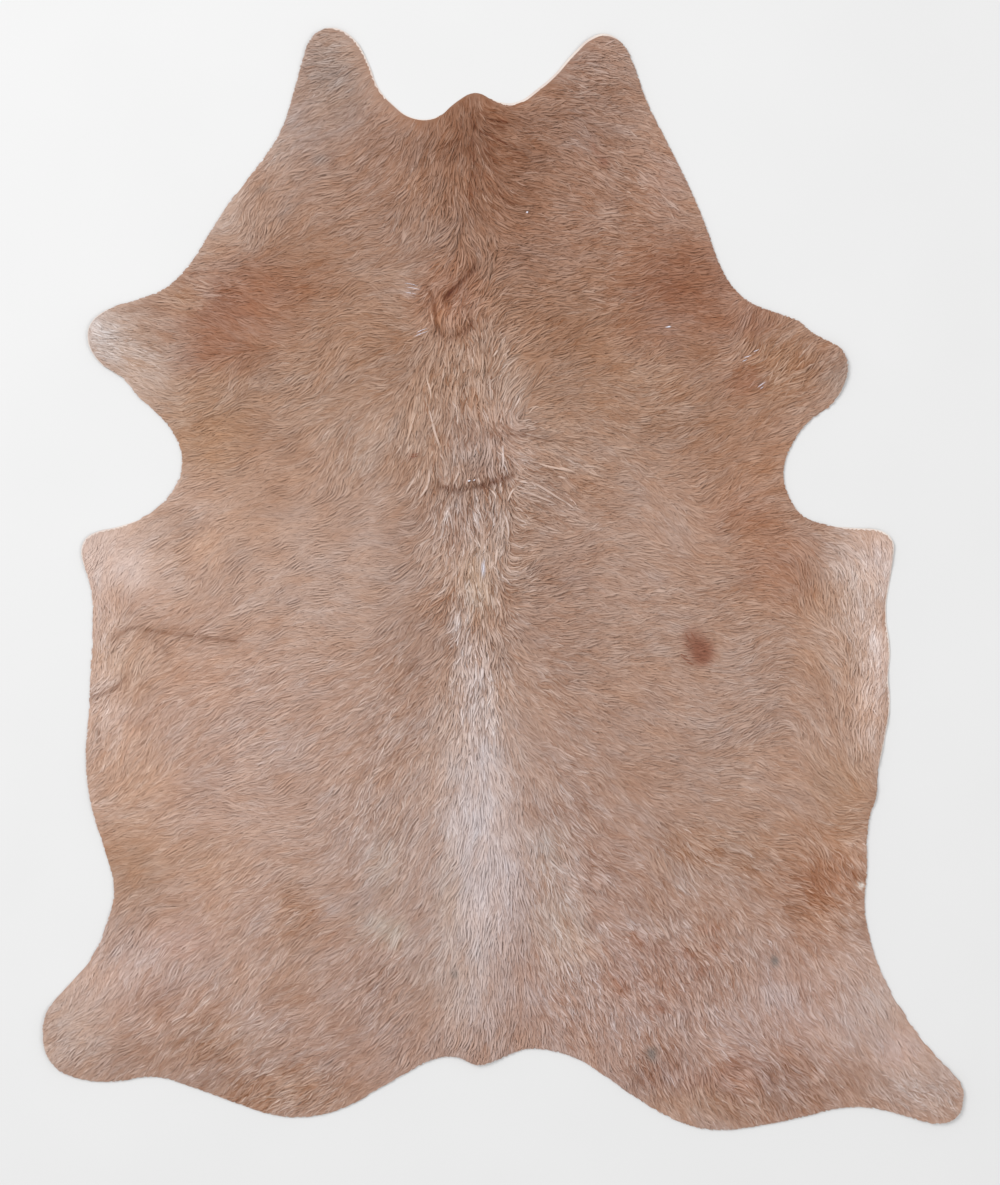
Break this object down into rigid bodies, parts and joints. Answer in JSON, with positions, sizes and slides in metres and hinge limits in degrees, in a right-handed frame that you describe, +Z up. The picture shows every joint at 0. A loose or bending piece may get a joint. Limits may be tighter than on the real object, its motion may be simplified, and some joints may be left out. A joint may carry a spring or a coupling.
{
  "type": "cowhide rug",
  "caption": "Flat hair-on cowhide rug in its natural outline, tan with a pale spine stripe, lying hair side up.",
  "frame": {"origin": "on the floor, under the middle of the hide's bounding box", "axes": "+Y along the spine from tail to neck, +X to the right-hand edge seen from above, +Z up through the hair side"},
  "size_m": [1.8426, 2.2061, 0.0158],
  "materials": {
    "hair_on_hide": "short lying cow hair, softly glossy, on suede-finished leather"
  },
  "bodies": {
    "root": {"hide": "hair_on_hide"}
  },
  "joints": []
}
